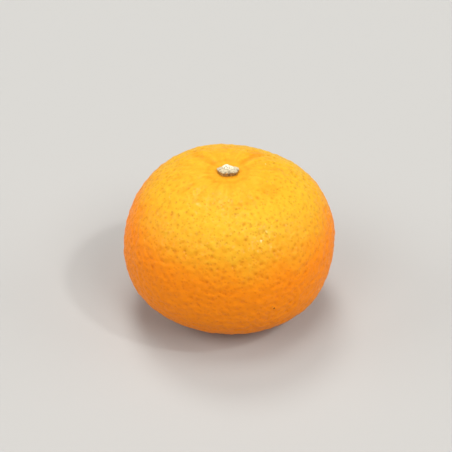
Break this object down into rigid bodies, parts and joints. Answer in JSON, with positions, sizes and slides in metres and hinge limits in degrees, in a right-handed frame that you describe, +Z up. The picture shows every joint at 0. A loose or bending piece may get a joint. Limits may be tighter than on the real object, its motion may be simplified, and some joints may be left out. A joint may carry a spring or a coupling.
{
  "type": "mandarin",
  "caption": "Whole flattened round mandarin in its rind with a dried calyx and stem stub on its crown, resting upright on a small flat spot.",
  "frame": {"origin": "on the resting surface, under the middle of the fruit's outline seen from above", "axes": "+Z up through the stem end, -Y towards the viewer, +X to the viewer's right"},
  "size_m": [0.064, 0.064, 0.0496],
  "materials": {
    "rind": "satin",
    "calyx": "matte",
    "stem_wood": "matte"
  },
  "bodies": {
    "root": {"fruit": "rind", "calyx": "calyx", "stem_stub": "stem_wood"}
  },
  "joints": []
}
